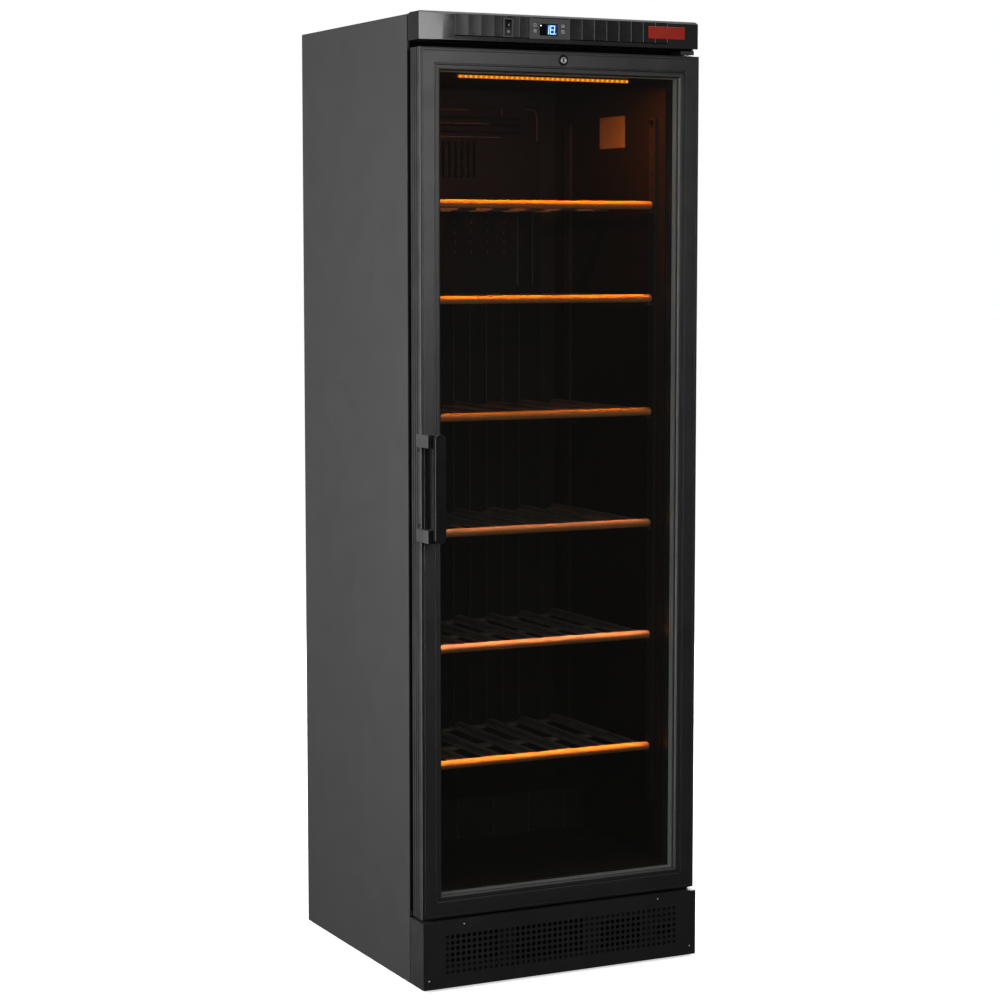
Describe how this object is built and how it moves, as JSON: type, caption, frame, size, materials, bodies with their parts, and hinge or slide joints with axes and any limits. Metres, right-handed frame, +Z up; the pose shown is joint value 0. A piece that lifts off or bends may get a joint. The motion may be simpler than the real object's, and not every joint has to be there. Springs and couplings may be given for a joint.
{
  "type": "wine cooler",
  "caption": "Tall free-standing wine cooler with a hinged glass door, side handle, lock, top control panel, pull-out wooden racks and a perforated plinth grille.",
  "frame": {"origin": "on the floor, under the middle of the overall bounding box", "axes": "+Z up, +X to the right seen from the front, +Y towards the back"},
  "size_m": [0.595, 0.642, 1.84],
  "materials": {
    "charcoal_steel": "satin powder coat",
    "zinc_steel": "dull zinc plate",
    "foam": "rigid polyurethane foam",
    "liner_black": "satin black plastic",
    "header_black": "gloss black plastic",
    "controller_grey": "satin dark grey",
    "display_window": "clear dark window",
    "key_grey": "matt grey",
    "switch_black": "gloss black",
    "badge_red": "gloss red, plain",
    "frame_black": "satin black extrusion",
    "tinted_glass": "clear, lightly tinted",
    "spacer_aluminium": "mill finish",
    "gasket_rubber": "matt",
    "lock_chrome": "polished",
    "hinge_steel": "black",
    "pin_steel": "turned",
    "bush_nylon": "natural nylon",
    "handle_black": "satin black",
    "bracket_grey": "dark grey",
    "rack_wood": "oiled",
    "upright_steel": "black",
    "lamp_amber": "lit amber diffuser",
    "coil_copper": "bare copper tube",
    "pot_black": "gloss black",
    "tray_grey": "matt",
    "roller_black": "matt"
  },
  "bodies": {
    "cabinet": {"outer_casing": "charcoal_steel", "rear_panel": "charcoal_steel", "base_frame": "zinc_steel", "foam_insulation": "foam", "inner_liner": "liner_black", "header_cover": "header_black", "controller_case": "controller_grey", "display_lens": "display_window", "light_switch_frame": "switch_black", "badge_plate": "badge_red", "lock_keeper": "zinc_steel", "plinth_grille": "charcoal_steel", "hinge_bracket_upper": "hinge_steel", "hinge_bracket_lower": "hinge_steel", "hinge_pin_upper": "pin_steel", "hinge_pin_lower": "pin_steel", "upright_front_left": "upright_steel", "upright_front_right": "upright_steel", "upright_rear_left": "upright_steel", "upright_rear_right": "upright_steel", "led_strip": "lamp_amber", "evaporator_cover": "liner_black", "evaporator_coil": "coil_copper", "fan_motor": "switch_black", "compressor": "pot_black", "drip_tray": "tray_grey", "inlet_socket": "switch_black", "condenser": "pot_black"},
    "door": {"door_frame": "frame_black", "glass_outer": "tinted_glass", "glass_inner": "tinted_glass", "glass_spacer": "spacer_aluminium", "glazing_bead": "frame_black", "door_gasket": "gasket_rubber", "lock_escutcheon": "switch_black", "handle_bar": "handle_black", "handle_bracket_upper": "bracket_grey", "handle_bracket_lower": "bracket_grey", "handle_screw_upper": "hinge_steel", "handle_screw_lower": "hinge_steel", "hinge_bush_upper": "bush_nylon", "hinge_bush_lower": "bush_nylon"},
    "lock": {"lock_cylinder": "lock_chrome", "lock_cam": "zinc_steel"},
    "button_set": {"button_set": "key_grey"},
    "button_defrost": {"button_defrost": "key_grey"},
    "button_up": {"button_up": "key_grey"},
    "button_down": {"button_down": "key_grey"},
    "light_switch": {"light_switch_rocker": "switch_black"},
    "rack_1": {"rack_1": "rack_wood"},
    "rack_2": {"rack_2": "rack_wood"},
    "rack_3": {"rack_3": "rack_wood"},
    "rack_4": {"rack_4": "rack_wood"},
    "rack_5": {"rack_5": "rack_wood"},
    "rack_6": {"rack_6": "rack_wood"},
    "foot_left": {"foot_front_left": "roller_black"},
    "foot_right": {"foot_front_right": "roller_black"},
    "roller_left": {"roller_rear_left": "roller_black"},
    "roller_right": {"roller_rear_right": "roller_black"},
    "fan": {"evaporator_fan": "switch_black"}
  },
  "joints": [
    {"name": "door_hinge", "type": "hinge", "parent": "cabinet", "child": "door", "pos_m": [0.28, -0.249, 0], "axis": [0, 0, 1], "range_deg": [0, 110]},
    {"name": "lock_turn", "type": "hinge", "parent": "door", "child": "lock", "pos_m": [0, -0.274, 1.7577], "axis": [0, 1, 0], "range_deg": [0, 90]},
    {"name": "button_set_press", "type": "slide", "parent": "cabinet", "child": "button_set", "axis": [0, 1, 0], "range_m": [0, 0.0008], "stiffness_N_per_m": 1500, "springref_m": -0.0004},
    {"name": "button_defrost_press", "type": "slide", "parent": "cabinet", "child": "button_defrost", "axis": [0, 1, 0], "range_m": [0, 0.0008], "stiffness_N_per_m": 1500, "springref_m": -0.0004},
    {"name": "button_up_press", "type": "slide", "parent": "cabinet", "child": "button_up", "axis": [0, 1, 0], "range_m": [0, 0.0008], "stiffness_N_per_m": 1500, "springref_m": -0.0004},
    {"name": "button_down_press", "type": "slide", "parent": "cabinet", "child": "button_down", "axis": [0, 1, 0], "range_m": [0, 0.0008], "stiffness_N_per_m": 1500, "springref_m": -0.0004},
    {"name": "light_switch_tip", "type": "hinge", "parent": "cabinet", "child": "light_switch", "pos_m": [-0.1135, -0.262, 1.8145], "axis": [-1, 0, 0], "range_deg": [0, 14]},
    {"name": "rack_1_slide", "type": "slide", "parent": "cabinet", "child": "rack_1", "axis": [0, -1, 0], "range_m": [0, 0.038]},
    {"name": "rack_2_slide", "type": "slide", "parent": "cabinet", "child": "rack_2", "axis": [0, -1, 0], "range_m": [0, 0.038]},
    {"name": "rack_3_slide", "type": "slide", "parent": "cabinet", "child": "rack_3", "axis": [0, -1, 0], "range_m": [0, 0.038]},
    {"name": "rack_4_slide", "type": "slide", "parent": "cabinet", "child": "rack_4", "axis": [0, -1, 0], "range_m": [0, 0.038]},
    {"name": "rack_5_slide", "type": "slide", "parent": "cabinet", "child": "rack_5", "axis": [0, -1, 0], "range_m": [0, 0.038]},
    {"name": "rack_6_slide", "type": "slide", "parent": "cabinet", "child": "rack_6", "axis": [0, -1, 0], "range_m": [0, 0.038]},
    {"name": "foot_left_turn", "type": "hinge", "parent": "cabinet", "child": "foot_left", "pos_m": [-0.25, -0.185, 0], "axis": [0, 0, 1], "continuous": true},
    {"name": "foot_right_turn", "type": "hinge", "parent": "cabinet", "child": "foot_right", "pos_m": [0.25, -0.185, 0], "axis": [0, 0, 1], "continuous": true},
    {"name": "roller_left_spin", "type": "hinge", "parent": "cabinet", "child": "roller_left", "pos_m": [-0.268, 0.262, 0.015], "axis": [1, 0, 0], "continuous": true},
    {"name": "roller_right_spin", "type": "hinge", "parent": "cabinet", "child": "roller_right", "pos_m": [0.268, 0.262, 0.015], "axis": [1, 0, 0], "continuous": true},
    {"name": "fan_spin", "type": "hinge", "parent": "cabinet", "child": "fan", "pos_m": [0, 0.219, 1.59], "axis": [0, 1, 0], "continuous": true}
  ]
}
